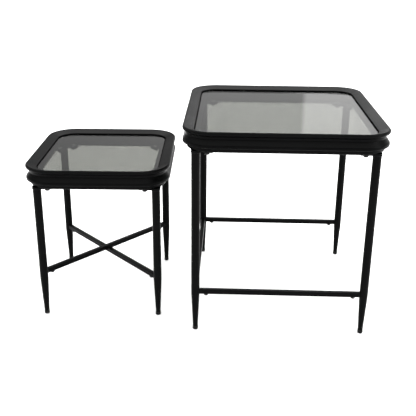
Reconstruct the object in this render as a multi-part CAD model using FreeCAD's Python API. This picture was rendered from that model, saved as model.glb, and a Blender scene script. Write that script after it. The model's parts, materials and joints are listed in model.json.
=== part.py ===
import FreeCAD, Part
import math
import os

# A pair of nesting side tables in powder-coated steel with inset smoked glass tops.
# Millimetres. +X is the open side of the large table, +Y is the back, +Z is up. The origin is on the
# floor, at the centre of the rectangle that the two tables cover when they stand side by side.
# The large table is square to the axes; the small one stands a little turned and a little forward.

V = FreeCAD.Vector
UP = V(0, 0, 1)

# Overall sizes: outer edge of the rim along X and along Y, and rim top above the floor.
LARGE_WIDTH, LARGE_DEPTH, LARGE_HEIGHT = 511.0, 569.0, 553.0
SMALL_WIDTH, SMALL_DEPTH, SMALL_HEIGHT = 381.0, 423.0, 428.0
GAP_BETWEEN_TABLES = 37.0
LARGE_CORNER_RADIUS = 76.0
SMALL_CORNER_RADIUS = 80.0
SMALL_TURN = 1.4
SMALL_FORWARD = 5.0

# Legs: round tube, drawn to a taper at the foot.
LEG_INSET = 35.5
LEG_RADIUS = 11.0
LEG_WALL = 1.5
TAPER_START = 108.0
LEG_FOOT_RADIUS = 6.6
FOOT_CAP_HEIGHT = 10.0
FOOT_CAP_RADIUS = 7.1
FOOT_EDGE_ROUND = 2.2
FOOT_SPIGOT_LENGTH = 14.0
FOOT_SPIGOT_PLAY = 0.05

# Rim section: distances below the rim's top and inward from its outer edge.
SHEET = 1.5
FLANGE_WIDTH = 29.5
FLANGE_DROP = 9.0
FLANGE_HEM = 16.0
NECK_INSET = 10.0
NECK_DEPTH = 16.5
BEAD_END_DEPTH = 44.0
CHANNEL_WALL = 2.0
CHANNEL_FACE_INSET = NECK_INSET + SHEET
LEDGE_INSET = 43.5
LEDGE_DEPTH = 19.0
CHANNEL_DEPTH = 54.0
LIP_INSET = 22.0
TAB_INSET = 38.0
TAB_LENGTH = 80.0

# Glass and its bumper pads.
GLASS_THICKNESS = 5.0
GLASS_INSET = 31.5
GLASS_EDGE_BEVEL = 0.8
PAD_THICKNESS = 1.5
PAD_RADIUS = 4.5
PAD_INSET = 38.0

# Top bracket of each leg, and its fixings.
BRACKET_THICKNESS = 4.0
BRACKET_OUTER_INSET = 23.5
BRACKET_ARM_INSET = 38.5
BRACKET_PAD_INSET = 48.0
BRACKET_REACH = 78.0
BRACKET_ROUND = 2.5
BRACKET_BOLT_INSET = 31.0
BRACKET_BOLT_ALONG = 64.0
BRACKET_HOLE_RADIUS = 3.3

# Square-tube stretchers and braces, and the stubs inside their ends.
BAR_SIZE = 12.7
BAR_WALL = 1.2
BAR_EDGE_ROUND = 1.5
STRETCHER_LEVEL = 114.0
BRACE_UPPER_LEVEL = 128.0
BRACE_LOWER_LEVEL = BRACE_UPPER_LEVEL - BAR_SIZE
BAR_END_PLAY = 0.3
STUB_SIZE = 9.8
STUB_REACH = 42.0
STUB_LEG_PLAY = 0.02
BAR_BOLT_ALONG = 28.0
BAR_HOLE_RADIUS = 2.75


class Screw:
    """Sizes of one round-headed screw with its washer and its nut."""

    def __init__(self, shank_radius, head_radius, head_height, washer_radius, washer_thickness):
        self.shank_radius = shank_radius
        self.head_radius = head_radius
        self.head_height = head_height
        self.washer_radius = washer_radius
        self.washer_thickness = washer_thickness
        self.socket_flats = head_radius * 0.66
        self.socket_depth = head_height * 0.5


M6 = Screw(2.9, 6.6, 4.4, 7.4, 1.4)
M5 = Screw(2.4, 5.8, 4.2, 6.3, 1.2)
THREAD_PLAY = 0.1
NUT_FLATS = 10.0
NUT_HEIGHT = 5.0
SCREW_TIP = 1.5

CORNERS = {
    "front_left": (-1, -1),
    "front_right": (1, -1),
    "back_left": (-1, 1),
    "back_right": (1, 1),
}


class Table:
    """One table: where it stands, its overall size, and the points worked out from them."""

    def __init__(self, name, centre, turn, width, depth, height, corner_radius):
        self.name = name
        self.centre = centre
        self.turn = turn
        self.width = width
        self.depth = depth
        self.height = height
        self.corner_radius = corner_radius

    def point(self, side_x, side_y, inset_x, inset_y, z):
        """Point at insets from the outer edges on the given sides (-1 or 1), at height z, before
        the table is turned."""
        x = self.centre.x + side_x * (self.width / 2 - inset_x)
        y = self.centre.y + side_y * (self.depth / 2 - inset_y)
        return V(x, y, z)

    def below_rim(self, depth):
        return self.height - depth

    def leg_axis(self, corner, z=0.0):
        side_x, side_y = CORNERS[corner]
        return self.point(side_x, side_y, LEG_INSET, LEG_INSET, z)


def span_when_turned(width, depth, corner_radius, turn):
    """Extent along X of a rounded rectangle that is turned about its centre."""
    angle = math.radians(turn)
    straight_x = width - 2 * corner_radius
    straight_y = depth - 2 * corner_radius
    return straight_x * math.cos(angle) + straight_y * math.sin(angle) + 2 * corner_radius


SMALL_SPAN = span_when_turned(SMALL_WIDTH, SMALL_DEPTH, SMALL_CORNER_RADIUS, SMALL_TURN)
TOTAL_SPAN = LARGE_WIDTH + GAP_BETWEEN_TABLES + SMALL_SPAN
LARGE = Table("large", V((TOTAL_SPAN - LARGE_WIDTH) / 2, 0, 0), 0.0,
              LARGE_WIDTH, LARGE_DEPTH, LARGE_HEIGHT, LARGE_CORNER_RADIUS)
SMALL = Table("small", V((SMALL_SPAN - TOTAL_SPAN) / 2, -SMALL_FORWARD, 0), SMALL_TURN,
              SMALL_WIDTH, SMALL_DEPTH, SMALL_HEIGHT, SMALL_CORNER_RADIUS)


def save(table, shape, piece):
    """Turn one piece, or one group of identical pieces, with its table and write it as a sub-part."""
    node = table.name + "_" + piece
    if not shape.isValid():
        raise ValueError("invalid shape: " + node)
    placed = shape.copy()
    placed.rotate(table.centre, UP, table.turn)
    placed.exportStep("parts/" + node + ".step")


def group(shapes):
    return Part.makeCompound(shapes)


# ---- outlines ----

def corner_round(before, corner, after, radius):
    """Start, middle and end of the arc that rounds one corner of a path."""
    back = (before - corner).normalize()
    ahead = (after - corner).normalize()
    half_angle = back.getAngle(ahead) / 2
    cut = radius / math.tan(half_angle)
    middle = corner + (back + ahead).normalize() * (radius / math.sin(half_angle) - radius)
    return corner + back * cut, middle, corner + ahead * cut


def rounded_path(points, closed=False):
    """Wire through (point, radius) pairs, each corner rounded by its radius."""
    corners = [point for point, _ in points]
    radii = [radius for _, radius in points]
    count = len(points)
    if closed:
        start = (corners[-1] + corners[0]) / 2
        inner = range(count)
        finish = start
    else:
        start = corners[0]
        inner = range(1, count - 1)
        finish = corners[-1]
    edges = []
    here = start
    for i in inner:
        target = corners[i]
        if radii[i] > 0:
            before = corners[i - 1]
            after = corners[(i + 1) % count]
            target, middle, leave = corner_round(before, corners[i], after, radii[i])
        if (target - here).Length > 1e-6:
            edges.append(Part.LineSegment(here, target).toShape())
        here = target
        if radii[i] > 0:
            edges.append(Part.Arc(target, middle, leave).toShape())
            here = leave
    if (finish - here).Length > 1e-6:
        edges.append(Part.LineSegment(here, finish).toShape())
    return Part.Wire(edges)


def rounded_rectangle(table, inset, z):
    """Face of the table's outline, moved inward by inset."""
    radius = table.corner_radius - inset
    sides = ((1, 1), (-1, 1), (-1, -1), (1, -1))
    points = [(table.point(sx, sy, inset, inset, z), radius) for sx, sy in sides]
    return Part.Face(rounded_path(points, closed=True))


def strip_section(points, thickness):
    """Section of a bent sheet: (inset, depth, bend radius) points of its outer face, thickened inward."""
    path = rounded_path([(V(-inset, 0, -depth), bend) for inset, depth, bend in points])
    return path.makeOffset2D(-thickness, 0, True, True)


def ring(table, section):
    """Carry a section, drawn with its outline at X = 0 and rim top at Z = 0, once round the table."""
    radius = table.corner_radius
    run_x = table.width - 2 * radius
    run_y = table.depth - 2 * radius
    side = section.copy()
    side.translate(V(table.width / 2, -run_y / 2, 0))
    end = side.copy()
    end.translate(V(0, run_y, 0))
    pivot = V(run_x / 2, run_y / 2, 0)
    corner = end.revolve(pivot, UP, 90)
    back = end.copy()
    back.rotate(pivot, UP, 90)
    next_corner = corner.copy()
    next_corner.rotate(pivot, UP, 90)
    next_corner.translate(V(-run_x, 0, 0))
    half = [side.extrude(V(0, run_y, 0)), corner, back.extrude(V(-run_x, 0, 0)), next_corner]
    other_half = [piece.copy() for piece in half]
    for piece in other_half:
        piece.rotate(V(0, 0, 0), UP, 180)
    whole = half[0].multiFuse(half[1:] + other_half).removeSplitter()
    whole.translate(table.centre + V(0, 0, table.height))
    return whole.Solids[0]


# ---- small pieces, each made standing on the origin and pointing up ----

def hexagon(flats, z, height):
    corner_radius = flats / math.sqrt(3)
    points = []
    for i in range(7):
        angle = math.radians(60 * i)
        points.append(V(corner_radius * math.cos(angle), corner_radius * math.sin(angle), z))
    return Part.Face(Part.makePolygon(points)).extrude(V(0, 0, height))


def screw_from_below(screw, place, seat_z, tip_z):
    """Round-headed socket screw put in upward: its washer bears on the face at seat_z."""
    head_top = seat_z - screw.washer_thickness
    head_bottom = head_top - screw.head_height
    shoulder = screw.head_height * 0.25
    rim_top = V(screw.head_radius, 0, head_top)
    rim = V(screw.head_radius, 0, head_top - shoulder)
    dome_side = V(screw.head_radius * 0.8, 0, head_bottom + screw.head_height * 0.22)
    dome_end = V(screw.socket_flats * 0.75, 0, head_bottom)
    outline = [
        Part.LineSegment(V(0, 0, head_top), rim_top).toShape(),
        Part.LineSegment(rim_top, rim).toShape(),
        Part.Arc(rim, dome_side, dome_end).toShape(),
        Part.LineSegment(dome_end, V(0, 0, head_bottom)).toShape(),
        Part.LineSegment(V(0, 0, head_bottom), V(0, 0, head_top)).toShape(),
    ]
    head = Part.Face(Part.Wire(outline)).revolve(V(0, 0, 0), UP, 360)
    head = Part.Solid(head) if head.ShapeType != "Solid" else head
    head = head.cut(hexagon(screw.socket_flats, head_bottom, screw.socket_depth))
    shank = Part.makeCylinder(screw.shank_radius, tip_z - head_top, V(0, 0, head_top))
    tip = shank.Edges
    rims = [edge for edge in tip if edge.isClosed() and abs(edge.BoundBox.ZMin - tip_z) < 1e-6]
    shank = shank.makeChamfer(screw.shank_radius * 0.2, rims)
    whole = head.fuse(shank).removeSplitter().Solids[0]
    whole.translate(V(place.x, place.y, 0))
    return whole


def washer(screw, place, seat_z):
    base = V(place.x, place.y, seat_z - screw.washer_thickness)
    disc = Part.makeCylinder(screw.washer_radius, screw.washer_thickness, base)
    hole = Part.makeCylinder(screw.shank_radius + THREAD_PLAY * 3, screw.washer_thickness, base)
    return disc.cut(hole)


def weld_nut(screw, place, z):
    nut = hexagon(NUT_FLATS, z, NUT_HEIGHT)
    nut = nut.cut(Part.makeCylinder(screw.shank_radius + THREAD_PLAY, NUT_HEIGHT, V(0, 0, z)))
    nut.translate(V(place.x, place.y, 0))
    return nut


# ---- top: rim, bead, channel, glass ----

def rim_flange(table):
    """Dished outer flange: high at its rounded outer lip, low at its hemmed inner edge."""
    return ring(table, strip_section([
        (FLANGE_WIDTH, FLANGE_HEM, 0),
        (FLANGE_WIDTH, FLANGE_DROP, 1.8),
        (4.0, 0.0, 2.6),
        (0.0, 4.0, 3.5),
        (1.0, 9.0, 3.0),
        (NECK_INSET, 14.0, 2.0),
        (NECK_INSET, NECK_DEPTH, 0),
    ], SHEET))


def rim_bead(table):
    """Moulded band under the flange: a neck that flares out to a rounded bead and turns back in."""
    return ring(table, strip_section([
        (NECK_INSET, NECK_DEPTH, 0),
        (NECK_INSET, 21.0, 4.0),
        (1.0, 33.5, 4.0),
        (0.3, 40.5, 3.0),
        (NECK_INSET + 0.4, BEAD_END_DEPTH, 0),
    ], SHEET))


def bracket_bolt_places(table, corner):
    """The two bolts of one leg bracket: one along each arm."""
    side_x, side_y = CORNERS[corner]
    return [
        table.point(side_x, side_y, BRACKET_BOLT_ALONG, BRACKET_BOLT_INSET, 0),
        table.point(side_x, side_y, BRACKET_BOLT_INSET, BRACKET_BOLT_ALONG, 0),
    ]


def all_bracket_bolt_places(table):
    return [place for corner in CORNERS for place in bracket_bolt_places(table, corner)]


def between_tabs(table, side_x, side_y):
    """Block that trims the bottom lip of one side to its narrow width, between the corner tabs."""
    half_length = (table.depth if side_x else table.width) / 2 - TAB_LENGTH
    reach = TAB_INSET - LIP_INSET
    half_x = reach if side_x else half_length
    half_y = reach if side_y else half_length
    block = Part.makeBox(2 * half_x, 2 * half_y, CHANNEL_WALL, V(-half_x, -half_y, 0))
    middle_inset = LIP_INSET + reach
    out_x = side_x * (table.width / 2 - middle_inset)
    out_y = side_y * (table.depth / 2 - middle_inset)
    block.translate(table.centre + V(out_x, out_y, table.below_rim(CHANNEL_DEPTH)))
    return block


def apron_channel(table):
    """Inward-facing channel: its top ledge carries the glass. Its bottom lip is narrow, and widens
    at the corners into tabs that take the brackets."""
    shape = ring(table, strip_section([
        (LEDGE_INSET, LEDGE_DEPTH, 0),
        (CHANNEL_FACE_INSET, LEDGE_DEPTH, 2.5),
        (CHANNEL_FACE_INSET, CHANNEL_DEPTH, 4.0),
        (TAB_INSET, CHANNEL_DEPTH, 0),
    ], CHANNEL_WALL))
    for side_x, side_y in ((1, 0), (0, 1), (-1, 0), (0, -1)):
        shape = shape.cut(between_tabs(table, side_x, side_y))
    base = table.below_rim(CHANNEL_DEPTH)
    for place in all_bracket_bolt_places(table):
        start = V(place.x, place.y, base)
        shape = shape.cut(Part.makeCylinder(BRACKET_HOLE_RADIUS, CHANNEL_WALL, start))
    return shape.Solids[0]


def glass_panel(table):
    bottom = table.below_rim(LEDGE_DEPTH - PAD_THICKNESS)
    panel = rounded_rectangle(table, GLASS_INSET, bottom).extrude(V(0, 0, GLASS_THICKNESS))
    flat_edges = [edge for edge in panel.Edges if edge.BoundBox.ZLength < 1e-6]
    return panel.makeChamfer(GLASS_EDGE_BEVEL, flat_edges)


def glass_pads(table):
    """Rubber bumper pads on the ledge: two along each side."""
    bottom = table.below_rim(LEDGE_DEPTH)
    quarter_x = table.width / 4
    quarter_y = table.depth / 4
    places = []
    for side in (-1, 1):
        for along in (-1, 1):
            beside = table.point(side, 1, PAD_INSET, 0, bottom).x
            places.append(V(beside, table.centre.y + along * quarter_y, bottom))
            across = table.point(1, side, 0, PAD_INSET, bottom).y
            places.append(V(table.centre.x + along * quarter_x, across, bottom))
    return group([Part.makeCylinder(PAD_RADIUS, PAD_THICKNESS, place) for place in places])


# ---- legs, feet, brackets ----

def leg(table, corner):
    top = table.below_rim(CHANNEL_DEPTH + BRACKET_THICKNESS)
    outer_foot = LEG_FOOT_RADIUS
    inner_foot = LEG_FOOT_RADIUS - LEG_WALL
    section = [
        V(inner_foot, 0, FOOT_CAP_HEIGHT),
        V(outer_foot, 0, FOOT_CAP_HEIGHT),
        V(LEG_RADIUS, 0, TAPER_START),
        V(LEG_RADIUS, 0, top),
        V(LEG_RADIUS - LEG_WALL, 0, top),
        V(LEG_RADIUS - LEG_WALL, 0, TAPER_START),
    ]
    section.append(section[0])
    tube = Part.Face(Part.makePolygon(section)).revolve(V(0, 0, 0), UP, 360)
    tube.translate(table.leg_axis(corner))
    return tube


def foot(table, corner):
    """Plastic cap under the leg, with a spigot that plugs the tube."""
    cap = Part.makeCylinder(FOOT_CAP_RADIUS, FOOT_CAP_HEIGHT)
    bottom_rim = [edge for edge in cap.Edges if edge.isClosed() and edge.BoundBox.ZMax < 1e-6]
    cap = cap.makeFillet(FOOT_EDGE_ROUND, bottom_rim)
    spigot_radius = LEG_FOOT_RADIUS - LEG_WALL - FOOT_SPIGOT_PLAY
    spigot = Part.makeCylinder(spigot_radius, FOOT_SPIGOT_LENGTH, V(0, 0, FOOT_CAP_HEIGHT))
    shape = cap.fuse(spigot).removeSplitter().Solids[0]
    shape.translate(table.leg_axis(corner))
    return shape


def bracket(table, corner):
    """Plate on top of a leg: a pad that caps the tube, and two arms bolted up into the channel."""
    side_x, side_y = CORNERS[corner]
    z = table.below_rim(CHANNEL_DEPTH + BRACKET_THICKNESS)
    outer, arm, pad, reach = BRACKET_OUTER_INSET, BRACKET_ARM_INSET, BRACKET_PAD_INSET, BRACKET_REACH
    insets = [
        (outer, outer, LEG_INSET - outer),
        (reach, outer, BRACKET_ROUND),
        (reach, arm, BRACKET_ROUND),
        (pad, arm, BRACKET_ROUND),
        (pad, pad, BRACKET_ROUND),
        (arm, pad, BRACKET_ROUND),
        (arm, reach, BRACKET_ROUND),
        (outer, reach, BRACKET_ROUND),
    ]
    points = [(table.point(side_x, side_y, ix, iy, z), radius) for ix, iy, radius in insets]
    plate = Part.Face(rounded_path(points, closed=True)).extrude(V(0, 0, BRACKET_THICKNESS))
    for place in bracket_bolt_places(table, corner):
        start = V(place.x, place.y, z)
        plate = plate.cut(Part.makeCylinder(BRACKET_HOLE_RADIUS, BRACKET_THICKNESS, start))
    return plate


def bracket_fixings(table):
    """Bolts, washers and weld nuts of the four brackets."""
    seat = table.below_rim(CHANNEL_DEPTH + BRACKET_THICKNESS)
    nut_base = table.below_rim(CHANNEL_DEPTH - CHANNEL_WALL)
    tip = nut_base + NUT_HEIGHT + SCREW_TIP
    places = all_bracket_bolt_places(table)
    save(table, group([screw_from_below(M6, p, seat, tip) for p in places]), "bracket_bolts")
    save(table, group([washer(M6, p, seat) for p in places]), "bracket_washers")
    save(table, group([weld_nut(M6, p, nut_base) for p in places]), "weld_nuts")


# ---- bars between the legs ----

def square_prism(start, end, size, edge_round):
    """Square bar of one size from start to end, its sides upright and level."""
    length = (end - start).Length
    half = size / 2
    turns = ((-1, -1), (1, -1), (1, 1), (-1, 1))
    points = [(V(0, a * half, b * half), edge_round) for a, b in turns]
    prism = Part.Face(rounded_path(points, closed=True)).extrude(V(length, 0, 0))
    along = end - start
    prism.rotate(V(0, 0, 0), UP, math.degrees(math.atan2(along.y, along.x)))
    prism.translate(start)
    return prism


def leg_relief(axis, radius):
    """Upright cylinder that copes the end of a bar to a leg."""
    return Part.makeCylinder(radius, TAPER_START, V(axis.x, axis.y, TAPER_START / 2))


def bar_tube(start, end):
    """Square tube from leg axis to leg axis, coped to the legs and drilled from below at both ends."""
    tube = square_prism(start, end, BAR_SIZE, BAR_EDGE_ROUND)
    tube = tube.cut(square_prism(start, end, BAR_SIZE - 2 * BAR_WALL, 0))
    for end_point, other in ((start, end), (end, start)):
        tube = tube.cut(leg_relief(end_point, LEG_RADIUS + BAR_END_PLAY))
        hole = end_point + (other - end_point).normalize() * BAR_BOLT_ALONG
        drill = V(hole.x, hole.y, hole.z - BAR_SIZE / 2)
        tube = tube.cut(Part.makeCylinder(BAR_HOLE_RADIUS, BAR_WALL, drill))
    return tube


def stub(leg_point, other):
    """Square stub standing out of a leg inside the end of a bar, with the bolt's threaded hole."""
    toward = (other - leg_point).normalize()
    shape = square_prism(leg_point, leg_point + toward * STUB_REACH, STUB_SIZE, 0)
    shape = shape.cut(leg_relief(leg_point, LEG_RADIUS + STUB_LEG_PLAY))
    hole = leg_point + toward * BAR_BOLT_ALONG
    drill = V(hole.x, hole.y, hole.z - STUB_SIZE / 2)
    return shape.cut(Part.makeCylinder(M5.shank_radius + THREAD_PLAY, STUB_SIZE, drill))


def bar_fixings(table, bar_name, ends):
    """Stubs, bolts and washers of every bar end, as (leg point, other end) pairs."""
    stubs, bolts, washers = [], [], []
    for leg_point, other in ends:
        place = leg_point + (other - leg_point).normalize() * BAR_BOLT_ALONG
        seat = place.z - BAR_SIZE / 2
        tip = place.z + STUB_SIZE / 2 - SCREW_TIP
        stubs.append(stub(leg_point, other))
        bolts.append(screw_from_below(M5, place, seat, tip))
        washers.append(washer(M5, place, seat))
    save(table, group(stubs), bar_name + "_stubs")
    save(table, group(bolts), bar_name + "_bolts")
    save(table, group(washers), bar_name + "_washers")


def stretchers(table):
    """U-shaped set of stretchers: front, back and left, open on the right."""
    runs = {
        "front": ("front_left", "front_right"),
        "back": ("back_left", "back_right"),
        "left": ("front_left", "back_left"),
    }
    ends = []
    for side, (first, second) in runs.items():
        start = table.leg_axis(first, STRETCHER_LEVEL)
        end = table.leg_axis(second, STRETCHER_LEVEL)
        save(table, bar_tube(start, end), "stretcher_" + side)
        ends += [(start, end), (end, start)]
    bar_fixings(table, "stretcher", ends)


def cross_brace(table):
    """X-shaped brace: two straight bars from corner to corner, one lying on the other."""
    bars = {
        "upper": ("front_left", "back_right", BRACE_UPPER_LEVEL),
        "lower": ("front_right", "back_left", BRACE_LOWER_LEVEL),
    }
    ends = []
    for layer, (first, second, level) in bars.items():
        start = table.leg_axis(first, level)
        end = table.leg_axis(second, level)
        save(table, bar_tube(start, end), "brace_" + layer)
        ends += [(start, end), (end, start)]
    bar_fixings(table, "brace", ends)


def build_table(table):
    save(table, rim_flange(table), "rim_flange")
    save(table, rim_bead(table), "rim_bead")
    save(table, apron_channel(table), "apron_channel")
    save(table, glass_panel(table), "glass_panel")
    save(table, glass_pads(table), "glass_pads")
    for corner in CORNERS:
        save(table, leg(table, corner), "leg_" + corner)
        save(table, foot(table, corner), "foot_" + corner)
        save(table, bracket(table, corner), "bracket_" + corner)
    bracket_fixings(table)


os.makedirs("parts", exist_ok=True)
build_table(LARGE)
stretchers(LARGE)
build_table(SMALL)
cross_brace(SMALL)
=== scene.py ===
import json
import math

import bmesh
import bpy
from mathutils import Matrix, Vector


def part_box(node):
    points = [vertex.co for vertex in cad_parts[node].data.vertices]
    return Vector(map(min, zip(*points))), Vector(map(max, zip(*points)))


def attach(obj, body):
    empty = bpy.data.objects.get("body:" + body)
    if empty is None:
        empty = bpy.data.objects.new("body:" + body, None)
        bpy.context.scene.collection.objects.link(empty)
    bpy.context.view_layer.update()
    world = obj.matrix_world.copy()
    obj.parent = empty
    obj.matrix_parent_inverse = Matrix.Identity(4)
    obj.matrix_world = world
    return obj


# Looks for a pair of nesting side tables: powder-coated steel, smoked glass, plastic feet and
# weld beads.
# Lengths are in metres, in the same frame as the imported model.

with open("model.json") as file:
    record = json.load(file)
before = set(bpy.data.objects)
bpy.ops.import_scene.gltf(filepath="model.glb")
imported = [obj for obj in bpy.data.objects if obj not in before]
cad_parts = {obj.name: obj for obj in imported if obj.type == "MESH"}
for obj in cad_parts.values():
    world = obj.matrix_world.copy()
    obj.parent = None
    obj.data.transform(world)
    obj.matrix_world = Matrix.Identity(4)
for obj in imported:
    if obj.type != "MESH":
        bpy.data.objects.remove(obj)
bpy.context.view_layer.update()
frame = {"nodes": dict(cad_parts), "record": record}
NODES = frame["nodes"]
TABLES = {"large": "large_table", "small": "small_table"}
CORNERS = ("front_left", "front_right", "back_left", "back_right")

# The camera: height of a seated viewer, in front and a little to the left of the large table.
CAMERA_PLACE = Vector((0.0754, -1.888, 0.9873))
CAMERA_PITCH = math.radians(21.30)
CAMERA_YAW = math.radians(-1.81)
CAMERA_ROLL = math.radians(0.48)
CAMERA_LENS = 60.7
SENSOR_WIDTH = 36.0

# Weld beads: radius, height of the ripples, spacing of the ripples, sides of the bead's section,
# how thick an open bead is at its tip and how much it gains per step, as shares of its full size,
# and steps along a bead.
WELD_RADIUS = 0.0011
WELD_RIPPLE = 0.0004
WELD_PITCH = 0.0026
WELD_SIDES = 10
WELD_TIP = 0.25
WELD_TIP_GAIN = 0.35
LEG_WELD_STEPS = 96
BRACE_WELD_STEPS = 20

# Sky brightness: each row is a value range and the brightness at its two ends.
# Angles run from straight ahead towards the right, in radians; heights are sines of elevation.
SKY_LEFT_TO_RIGHT = (-0.35, 0.08, 0.42, 0.58)
SKY_BEHIND = (-0.5, 0.1, 0.3, 1.0)
SKY_LOW = (0.4, 0.7, 1.0, 0.0)
SKY_HIGH = (0.40, 0.70, 0.0, 2.9)
WINDOW_NEAR_EDGE = (0.100, 0.110, 0.0, 0.55)
WINDOW_FAR_EDGE = (0.9, 1.3, 1.0, 0.0)
WINDOW_TOP = (0.4, 0.6, 1.0, 0.0)
FLOOR_SIZE = 40.0
FLOOR_DROP = 0.0004

# Lamps: where each stands, the point it faces, its width and height, and its power in watts.
LAMPS = {
    "overhead": {
        "place": (0.1, 1.9, 2.9), "target": (0, 0, 0.45), "size": (3.0, 2.2), "power": 45,
    },
    "back_panel": {
        "place": (0.58, 2.4, 1.52), "target": (0.45, 0, 0.55), "size": (0.26, 0.4), "power": 2.3,
    },
    "right_key": {
        "place": (2.6, -1.0, 1.5), "target": (0.2, 0, 0.45), "size": (1.0, 1.4), "power": 22,
    },
}

# The mix node has a set of sockets for each data type. These are where its colour ones are.
MIX_COLOUR_A = 6
MIX_COLOUR_B = 7
MIX_COLOUR_RESULT = 2

# Cosine of the angle between the true normal and the bevelled one, on a flat face and on an edge.
FLAT_COSINE = 0.995
EDGE_COSINE = 0.9


# ---- node trees ----

class Shader:
    """Short way to write one material's node tree."""

    def __init__(self, name):
        self.material = bpy.data.materials.new(name)
        self.material.use_nodes = True
        self.tree = self.material.node_tree
        self.tree.nodes.clear()
        self.output = self.tree.nodes.new("ShaderNodeOutputMaterial")
        self.place = self.add("ShaderNodeTexCoord").outputs["Object"]

    def add(self, kind, **settings):
        node = self.tree.nodes.new(kind)
        for key, value in settings.items():
            setattr(node, key, value)
        return node

    def link(self, source, target):
        self.tree.links.new(source, target)

    def noise(self, scale, detail=2.0, roughness=0.5):
        node = self.add("ShaderNodeTexNoise")
        node.inputs["Scale"].default_value = scale
        node.inputs["Detail"].default_value = detail
        node.inputs["Roughness"].default_value = roughness
        self.link(self.place, node.inputs["Vector"])
        return node.outputs["Fac"]

    def remap(self, value, low, high, to_low, to_high):
        node = self.add("ShaderNodeMapRange")
        node.inputs["From Min"].default_value = low
        node.inputs["From Max"].default_value = high
        node.inputs["To Min"].default_value = to_low
        node.inputs["To Max"].default_value = to_high
        self.link(value, node.inputs["Value"])
        return node.outputs["Result"]

    def multiply(self, first, second):
        node = self.add("ShaderNodeMath", operation="MULTIPLY")
        self.link(first, node.inputs[0])
        self.link(second, node.inputs[1])
        return node.outputs[0]

    def mix(self, factor, dark, light):
        """Colour between two colours, each a tuple or a socket."""
        node = self.add("ShaderNodeMix", data_type="RGBA")
        self.link(factor, node.inputs["Factor"])
        for place, colour in ((MIX_COLOUR_A, dark), (MIX_COLOUR_B, light)):
            socket = node.inputs[place]
            if isinstance(colour, tuple):
                socket.default_value = (*colour, 1.0)
            else:
                self.link(colour, socket)
        return node.outputs[MIX_COLOUR_RESULT]

    def bump(self, height, distance, strength=1.0, normal=None):
        node = self.add("ShaderNodeBump")
        node.inputs["Strength"].default_value = strength
        node.inputs["Distance"].default_value = distance
        self.link(height, node.inputs["Height"])
        if normal is not None:
            self.link(normal, node.inputs["Normal"])
        return node.outputs["Normal"]

    def sharp_edge_mask(self, radius):
        """About 1 on sharp outer edges and 0 on flat faces."""
        bevel = self.add("ShaderNodeBevel", samples=6)
        bevel.inputs["Radius"].default_value = radius
        geometry = self.add("ShaderNodeNewGeometry")
        dot = self.add("ShaderNodeVectorMath", operation="DOT_PRODUCT")
        self.link(bevel.outputs["Normal"], dot.inputs[0])
        self.link(geometry.outputs["Normal"], dot.inputs[1])
        return self.remap(dot.outputs["Value"], FLAT_COSINE, EDGE_COSINE, 0.0, 1.0)

    def principled(self, **values):
        """Principled shader; a value is a number, a colour or a socket."""
        node = self.add("ShaderNodeBsdfPrincipled")
        names = {
            "colour": "Base Color", "roughness": "Roughness", "metallic": "Metallic",
            "normal": "Normal", "ior": "IOR", "transmission": "Transmission Weight",
            "specular": "Specular IOR Level",
        }
        for key, value in values.items():
            socket = node.inputs[names[key]]
            if isinstance(value, bpy.types.NodeSocket):
                self.link(value, socket)
            elif isinstance(value, tuple):
                socket.default_value = (*value, 1.0)
            else:
                socket.default_value = value
        return node

    def finish(self, surface):
        self.link(surface, self.output.inputs["Surface"])
        return self.material


# ---- materials ----

def powder_coat():
    """Black satin powder coat: fine sandy grain, slow gloss changes, edges a little lighter,
    partly as rubbed wear and partly as a painted edge highlight."""
    coat_dark = (0.0010, 0.0011, 0.00115)
    coat_light = (0.0026, 0.0028, 0.0029)
    dust = (0.0038, 0.0039, 0.0040)
    # Lighter colour for sharp edges: partly rubbed coat, partly a painted edge highlight.
    worn_and_highlit_edge = (0.020, 0.020, 0.021)
    s = Shader("black_powder_coat")
    grain = s.noise(950.0, detail=3.0, roughness=0.6)
    speckle = s.remap(s.noise(420.0), 0.55, 0.75, 0.0, 1.0)
    cloud = s.noise(9.0, detail=4.0, roughness=0.55)
    base = s.mix(speckle, coat_dark, coat_light)
    dusty = s.mix(s.remap(cloud, 0.35, 0.75, 0.0, 0.35), base, dust)
    patches = s.remap(s.noise(140.0, detail=4.0), 0.45, 0.7, 0.1, 0.8)
    # Sharp edges lightened in noisy patches: partly rubbed wear, partly a painted highlight along
    # the edges.
    edge_lightening = s.multiply(s.sharp_edge_mask(0.0009), patches)
    colour = s.mix(edge_lightening, dusty, worn_and_highlit_edge)
    roughness = s.remap(cloud, 0.3, 0.7, 0.30, 0.38)
    orange_peel = s.bump(s.noise(260.0), 0.00006)
    normal = s.bump(grain, 0.00005, normal=orange_peel)
    shader = s.principled(colour=colour, roughness=roughness, normal=normal, ior=1.5,
                          specular=0.036)
    return s.finish(shader.outputs[0])


def smoked_glass():
    """Grey smoked glass: polished faces that are very slightly wavy; lamps shine through it."""
    smoke = (0.129, 0.133, 0.119)
    lamp_tint = (0.30, 0.305, 0.29, 1.0)
    s = Shader("smoked_glass")
    wave = s.bump(s.noise(3.5, detail=1.0), 0.0004, strength=0.25)
    smear = s.remap(s.noise(14.0, detail=5.0, roughness=0.6), 0.45, 0.75, 0.008, 0.035)
    glass = s.principled(colour=smoke, roughness=smear, normal=wave, ior=1.5, transmission=1.0)
    clear = s.add("ShaderNodeBsdfTransparent")
    clear.inputs["Color"].default_value = lamp_tint
    ray = s.add("ShaderNodeLightPath")
    blend = s.add("ShaderNodeMixShader")
    s.link(ray.outputs["Is Shadow Ray"], blend.inputs["Fac"])
    s.link(glass.outputs[0], blend.inputs[1])
    s.link(clear.outputs[0], blend.inputs[2])
    return s.finish(blend.outputs[0])


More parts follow.
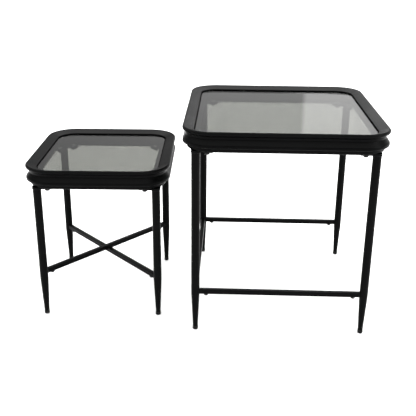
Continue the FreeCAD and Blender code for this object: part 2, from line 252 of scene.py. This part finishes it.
def foot_plastic():
    """Moulded matt black plastic with a fine spark-eroded grain and scuffs near the floor."""
    s = Shader("foot_plastic")
    grain = s.noise(1400.0)
    scuff = s.remap(s.noise(260.0, detail=5.0, roughness=0.7), 0.55, 0.7, 0.0, 0.7)
    colour = s.mix(scuff, (0.005, 0.005, 0.005), (0.014, 0.014, 0.013))
    roughness = s.remap(grain, 0.3, 0.7, 0.5, 0.66)
    normal = s.bump(grain, 0.00008)
    shader = s.principled(colour=colour, roughness=roughness, normal=normal, specular=0.15)
    return s.finish(shader.outputs[0])


def black_bolt():
    """Black oxide on steel: dark, slightly metallic, faint tool marks."""
    s = Shader("black_bolt")
    marks = s.noise(1800.0, detail=3.0, roughness=0.7)
    edge_lightening = s.multiply(s.sharp_edge_mask(0.0004), s.remap(marks, 0.4, 0.7, 0.2, 1.0))
    colour = s.mix(edge_lightening, (0.006, 0.006, 0.0065), (0.05, 0.048, 0.046))
    roughness = s.remap(marks, 0.3, 0.7, 0.3, 0.45)
    normal = s.bump(marks, 0.00003)
    shader = s.principled(colour=colour, roughness=roughness, normal=normal, specular=0.2)
    return s.finish(shader.outputs[0])


def zinc_steel():
    """Zinc-plated steel: soft spangle and light scratches."""
    s = Shader("bare_steel")
    spangle = s.noise(330.0)
    scratch = s.noise(1500.0, detail=4.0, roughness=0.7)
    colour = s.mix(spangle, (0.42, 0.42, 0.43), (0.62, 0.62, 0.60))
    roughness = s.remap(scratch, 0.3, 0.7, 0.28, 0.46)
    normal = s.bump(scratch, 0.00003)
    shader = s.principled(colour=colour, roughness=roughness, metallic=1.0, normal=normal)
    return s.finish(shader.outputs[0])


def bumper_pad():
    """Soft black rubber bumper with a matt, slightly dusty skin."""
    s = Shader("rubber_pad")
    dust = s.noise(700.0, detail=4.0)
    colour = s.mix(dust, (0.009, 0.009, 0.009), (0.022, 0.022, 0.021))
    roughness = s.remap(dust, 0.3, 0.7, 0.6, 0.8)
    normal = s.bump(dust, 0.00005)
    shader = s.principled(colour=colour, roughness=roughness, normal=normal)
    return s.finish(shader.outputs[0])


def weld_metal():
    """Coated weld bead: the same coat as the tube, thicker and smoother over the ripples."""
    s = Shader("coated_weld")
    grain = s.noise(700.0, detail=3.0)
    colour = s.mix(grain, (0.0022, 0.0022, 0.0024), (0.0048, 0.0048, 0.0052))
    roughness = s.remap(grain, 0.3, 0.7, 0.34, 0.44)
    normal = s.bump(grain, 0.00006)
    shader = s.principled(colour=colour, roughness=roughness, normal=normal, specular=0.055)
    return s.finish(shader.outputs[0])


MATERIALS = {
    "black_powder_coat": powder_coat(),
    "smoked_glass": smoked_glass(),
    "rubber_pad": bumper_pad(),
    "foot_plastic": foot_plastic(),
    "black_bolt": black_bolt(),
    "bare_steel": zinc_steel(),
}
WELD = weld_metal()


def dress_cad_nodes():
    """Give every CAD node the material of its slot in the record."""
    for entry in frame["record"]["subparts"]:
        node = NODES[entry["node"]]
        node.data.materials.clear()
        node.data.materials.append(MATERIALS[entry["material_slot"]])


# ---- extra pieces ----

def new_piece(name, mesh_builder, material, body):
    """Mesh object made by bmesh code, smooth shaded, riding on a body."""
    mesh = bmesh.new()
    mesh_builder(mesh)
    data = bpy.data.meshes.new(name)
    mesh.to_mesh(data)
    mesh.free()
    for polygon in data.polygons:
        polygon.use_smooth = True
    data.materials.append(material)
    piece = bpy.data.objects.new(name, data)
    bpy.context.scene.collection.objects.link(piece)
    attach(piece, body)


def add_bead(mesh, path, normals, radius, ripple, pitch, closed):
    """Weld bead: a tube along a path, with the ripples that a torch leaves every pitch metres.
    An open bead runs out to a small tip at both ends."""
    last = len(path) - 1
    rings = []
    run = 0.0
    for i, point in enumerate(path):
        run += (point - path[i - 1]).length if i else 0.0
        before = path[i - 1] if closed or i else point
        after = path[(i + 1) % len(path)] if closed or i < last else point
        ahead = (after - before).normalized()
        side = ahead.cross(normals[i]).normalized()
        swell = radius + ripple * abs(math.sin(math.pi * run / pitch))
        if not closed:
            swell *= min(1.0, WELD_TIP + WELD_TIP_GAIN * min(i, last - i))
        ring = []
        for k in range(WELD_SIDES):
            angle = 2 * math.pi * k / WELD_SIDES
            offset = normals[i] * (swell * math.cos(angle)) + side * (swell * math.sin(angle))
            ring.append(mesh.verts.new(point + offset))
        rings.append(ring)
    joined = zip(rings, rings[1:] + rings[:1]) if closed else zip(rings, rings[1:])
    for first, second in joined:
        for k in range(WELD_SIDES):
            following = (k + 1) % WELD_SIDES
            mesh.faces.new((first[k], first[following], second[following], second[k]))
    if not closed:
        mesh.faces.new(rings[0][::-1])
        mesh.faces.new(rings[-1])
    bmesh.ops.recalc_face_normals(mesh, faces=mesh.faces)


def leg_top(table, corner):
    """Centre of the top of a leg, and the leg's radius."""
    low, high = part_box(f"{table}_leg_{corner}")
    centre = (low + high) / 2
    return Vector((centre.x, centre.y, high.z)), (high.x - low.x) / 2


def leg_welds(table, body):
    """A bead round the top of each leg, in the corner under its bracket."""
    def build(mesh):
        for corner in CORNERS:
            top, leg_radius = leg_top(table, corner)
            path, normals = [], []
            for i in range(LEG_WELD_STEPS):
                angle = 2 * math.pi * i / LEG_WELD_STEPS
                out = Vector((math.cos(angle), math.sin(angle), 0))
                path.append(top + out * leg_radius - Vector((0, 0, WELD_RADIUS)))
                normals.append(out)
            add_bead(mesh, path, normals, WELD_RADIUS, WELD_RIPPLE, WELD_PITCH, True)

    new_piece(f"{table}_leg_welds", build, WELD, body)


def brace_welds():
    """Two short beads where one brace bar lies on the other, one on each side of the upper bar."""
    upper_low, upper_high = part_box("small_brace_upper")
    bar_size = upper_high.z - upper_low.z
    tops = {corner: leg_top("small", corner)[0] for corner in CORNERS}
    along = (tops["back_right"] - tops["front_left"]).normalized()
    across = (tops["back_left"] - tops["front_right"]).normalized()
    centre = (tops["back_right"] + tops["front_left"]) / 2
    centre.z = upper_low.z
    sideways = along.cross(Vector((0, 0, 1)))
    skew = across * (bar_size / 2 / abs(across.dot(sideways)))
    half_length = bar_size / 2 / abs(along.cross(across).z)

    def build(mesh):
        for side in (-1, 1):
            toward = skew * (side if across.dot(sideways) > 0 else -side)
            path, normals = [], []
            for i in range(BRACE_WELD_STEPS + 1):
                share = 2 * i / BRACE_WELD_STEPS - 1
                path.append(centre + toward + along * (half_length * share))
                normals.append(Vector((0, 0, 1)))
            add_bead(mesh, path, normals, WELD_RADIUS, WELD_RIPPLE, WELD_PITCH, False)

    new_piece("small_brace_welds", build, WELD, "small_table")


def build_welds():
    for table, body in TABLES.items():
        leg_welds(table, body)
    brace_welds()


# ---- stage ----

def build_floor():
    mesh = bmesh.new()
    bmesh.ops.create_grid(mesh, x_segments=1, y_segments=1, size=FLOOR_SIZE / 2)
    data = bpy.data.meshes.new("floor")
    mesh.to_mesh(data)
    mesh.free()
    s = Shader("floor_paper")
    colour = s.mix(s.noise(2.0, detail=3.0), (0.95, 0.95, 0.95), (0.97, 0.97, 0.97))
    paper = s.principled(colour=colour, roughness=0.9, specular=0.0)
    data.materials.append(s.finish(paper.outputs[0]))
    floor = bpy.data.objects.new("floor", data)
    floor.location.z = -FLOOR_DROP
    bpy.context.scene.collection.objects.link(floor)


def add_area_light(name, place, target, size, power):
    light = bpy.data.lights.new(name, "AREA")
    light.shape = "RECTANGLE"
    light.size, light.size_y = size
    light.energy = power
    lamp = bpy.data.objects.new(name, light)
    lamp.location = place
    lamp.rotation_euler = (Vector(target) - Vector(place)).to_track_quat("-Z", "Y").to_euler()
    bpy.context.scene.collection.objects.link(lamp)


def build_lights():
    for name, settings in LAMPS.items():
        add_area_light(name, **settings)


def build_world():
    """Pale studio: bright overhead, dimmer behind the camera and to the left, a tall bright
    window to the right of straight ahead."""
    world = bpy.data.worlds.new("studio")
    world.use_nodes = True
    tree = world.node_tree
    background = tree.nodes["Background"]
    direction = tree.nodes.new("ShaderNodeTexCoord").outputs["Generated"]
    split = tree.nodes.new("ShaderNodeSeparateXYZ")
    tree.links.new(direction, split.inputs[0])

    def math_node(operation, first, second):
        node = tree.nodes.new("ShaderNodeMath")
        node.operation = operation
        for socket, value in zip(node.inputs, (first, second)):
            if isinstance(value, bpy.types.NodeSocket):
                tree.links.new(value, socket)
            else:
                socket.default_value = value
        return node.outputs[0]

    def ramp(value, low, high, to_low, to_high):
        node = tree.nodes.new("ShaderNodeMapRange")
        node.interpolation_type = "SMOOTHSTEP"
        tree.links.new(value, node.inputs["Value"])
        for name, setting in (("From Min", low), ("From Max", high),
                              ("To Min", to_low), ("To Max", to_high)):
            node.inputs[name].default_value = setting
        return node.outputs["Result"]

    azimuth = math_node("ARCTAN2", split.outputs["X"], split.outputs["Y"])
    height = split.outputs["Z"]
    sideways = ramp(azimuth, *SKY_LEFT_TO_RIGHT)
    behind = ramp(split.outputs["Y"], *SKY_BEHIND)
    horizon = math_node("MULTIPLY", sideways, behind)
    window_sides = math_node("MULTIPLY", ramp(azimuth, *WINDOW_NEAR_EDGE),
                             ramp(azimuth, *WINDOW_FAR_EDGE))
    window = math_node("MULTIPLY", window_sides, ramp(height, *WINDOW_TOP))
    horizon = math_node("ADD", horizon, window)
    low_part = math_node("MULTIPLY", horizon, ramp(height, *SKY_LOW))
    high_part = ramp(height, *SKY_HIGH)
    background.inputs["Color"].default_value = (1, 1, 1, 1)
    tree.links.new(math_node("ADD", low_part, high_part), background.inputs["Strength"])
    bpy.context.scene.world = world


def build_camera():
    forward = Vector((
        math.sin(CAMERA_YAW) * math.cos(CAMERA_PITCH),
        math.cos(CAMERA_YAW) * math.cos(CAMERA_PITCH),
        -math.sin(CAMERA_PITCH),
    ))
    level_right = Vector((math.cos(CAMERA_YAW), -math.sin(CAMERA_YAW), 0))
    level_up = level_right.cross(forward)
    right = level_right * math.cos(CAMERA_ROLL) + level_up * math.sin(CAMERA_ROLL)
    up = level_up * math.cos(CAMERA_ROLL) - level_right * math.sin(CAMERA_ROLL)
    turn = Matrix((right, up, -forward)).transposed()
    data = bpy.data.cameras.new("camera")
    data.sensor_width = SENSOR_WIDTH
    data.lens = CAMERA_LENS
    camera = bpy.data.objects.new("camera", data)
    camera.matrix_world = Matrix.Translation(CAMERA_PLACE) @ turn.to_4x4()
    bpy.context.scene.collection.objects.link(camera)
    bpy.context.scene.camera = camera


dress_cad_nodes()
build_welds()
build_floor()
build_lights()
build_world()
build_camera()
bpy.context.scene.view_settings.view_transform = "Standard"
